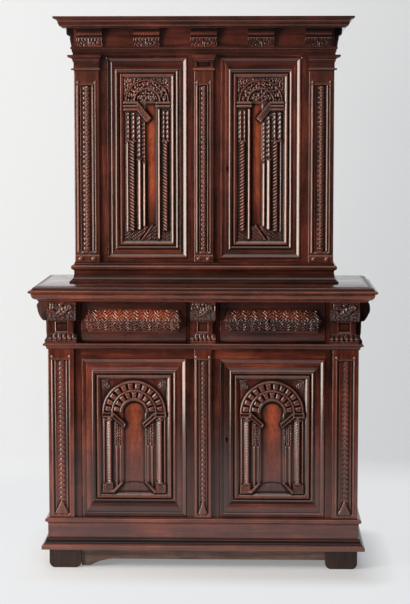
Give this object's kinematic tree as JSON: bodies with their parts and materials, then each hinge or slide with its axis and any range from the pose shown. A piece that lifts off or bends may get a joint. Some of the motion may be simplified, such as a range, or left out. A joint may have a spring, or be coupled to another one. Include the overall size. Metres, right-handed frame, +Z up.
{
  "type": "carved two-stage cupboard",
  "caption": "Carved walnut cupboard in two stages: arched-panel doors above and below, with cushioned drawers between, on a moulded plinth with block feet.",
  "frame": {"origin": "on the floor, under the middle of the whole cupboard's box", "axes": "+Z up, +X to the viewer's right, the front with the doors faces -Y"},
  "size_m": [1.277, 0.54, 2.04],
  "materials": {
    "walnut": "waxed",
    "inner_wood": "planed, oiled",
    "iron": "forged, dark"
  },
  "bodies": {
    "carcass": {"feet": "walnut", "front_apron": "walnut", "plinth_boards": "walnut", "plinth_base_moulding": "walnut", "plinth_cap_moulding": "walnut", "lower_front_posts": "walnut", "upper_front_posts": "walnut", "lower_front_rails": "walnut", "upper_front_rails": "walnut", "lower_floor": "inner_wood", "upper_floor": "inner_wood", "lower_shelf": "inner_wood", "upper_shelf": "inner_wood", "lower_pilasters": "walnut", "upper_pilasters": "walnut", "lower_rear_posts": "walnut", "upper_rear_posts": "walnut", "side_rails": "walnut", "side_panels": "walnut", "back_boards": "inner_wood", "shelf_cleats": "inner_wood", "waist_moulding": "walnut", "waist_top_board": "walnut", "waist_top_moulding": "walnut", "front_consoles": "walnut", "side_consoles": "walnut", "upper_base_moulding": "walnut", "pilaster_capitals": "walnut", "architrave": "walnut", "frieze_boards": "walnut", "frieze_brackets": "walnut", "cornice": "walnut", "upper_top_board": "inner_wood", "drawer_runners": "inner_wood"},
    "lower_left_door": {"lower_left_door_frame": "walnut", "lower_left_door_moulding": "walnut", "lower_left_door_panel": "walnut", "lower_left_door_pivots": "iron"},
    "lower_right_door": {"lower_right_door_frame": "walnut", "lower_right_door_moulding": "walnut", "lower_right_door_panel": "walnut", "lower_right_door_pivots": "iron", "lower_lock_case": "iron"},
    "upper_left_door": {"upper_left_door_frame": "walnut", "upper_left_door_moulding": "walnut", "upper_left_door_panel": "walnut", "upper_left_door_pivots": "iron"},
    "upper_right_door": {"upper_right_door_frame": "walnut", "upper_right_door_moulding": "walnut", "upper_right_door_panel": "walnut", "upper_right_door_pivots": "iron", "upper_lock_case": "iron"},
    "left_drawer": {"left_drawer_front": "walnut", "left_drawer_cushion": "walnut", "left_drawer_box": "inner_wood"},
    "right_drawer": {"right_drawer_front": "walnut", "right_drawer_cushion": "walnut", "right_drawer_box": "inner_wood"},
    "lower_bolt": {"lower_lock_bolt": "iron"},
    "upper_bolt": {"upper_lock_bolt": "iron"}
  },
  "joints": [
    {"name": "lower_left_door_hinge", "type": "hinge", "parent": "carcass", "child": "lower_left_door", "pos_m": [-0.442, -0.185, 0.488], "axis": [0, 0, -1], "range_deg": [0, 100]},
    {"name": "lower_right_door_hinge", "type": "hinge", "parent": "carcass", "child": "lower_right_door", "pos_m": [0.442, -0.185, 0.488], "axis": [0, 0, 1], "range_deg": [0, 100]},
    {"name": "upper_left_door_hinge", "type": "hinge", "parent": "carcass", "child": "upper_left_door", "pos_m": [-0.352, -0.075, 1.522], "axis": [0, 0, -1], "range_deg": [0, 100]},
    {"name": "upper_right_door_hinge", "type": "hinge", "parent": "carcass", "child": "upper_right_door", "pos_m": [0.352, -0.075, 1.522], "axis": [0, 0, 1], "range_deg": [0, 100]},
    {"name": "left_drawer_slide", "type": "slide", "parent": "carcass", "child": "left_drawer", "axis": [0, -1, 0], "range_m": [0, 0.28]},
    {"name": "right_drawer_slide", "type": "slide", "parent": "carcass", "child": "right_drawer", "axis": [0, -1, 0], "range_m": [0, 0.28]},
    {"name": "lower_bolt_slide", "type": "slide", "parent": "lower_right_door", "child": "lower_bolt", "axis": [-1, 0, 0], "range_m": [0, 0.014]},
    {"name": "upper_bolt_slide", "type": "slide", "parent": "upper_right_door", "child": "upper_bolt", "axis": [-1, 0, 0], "range_m": [0, 0.014]}
  ]
}
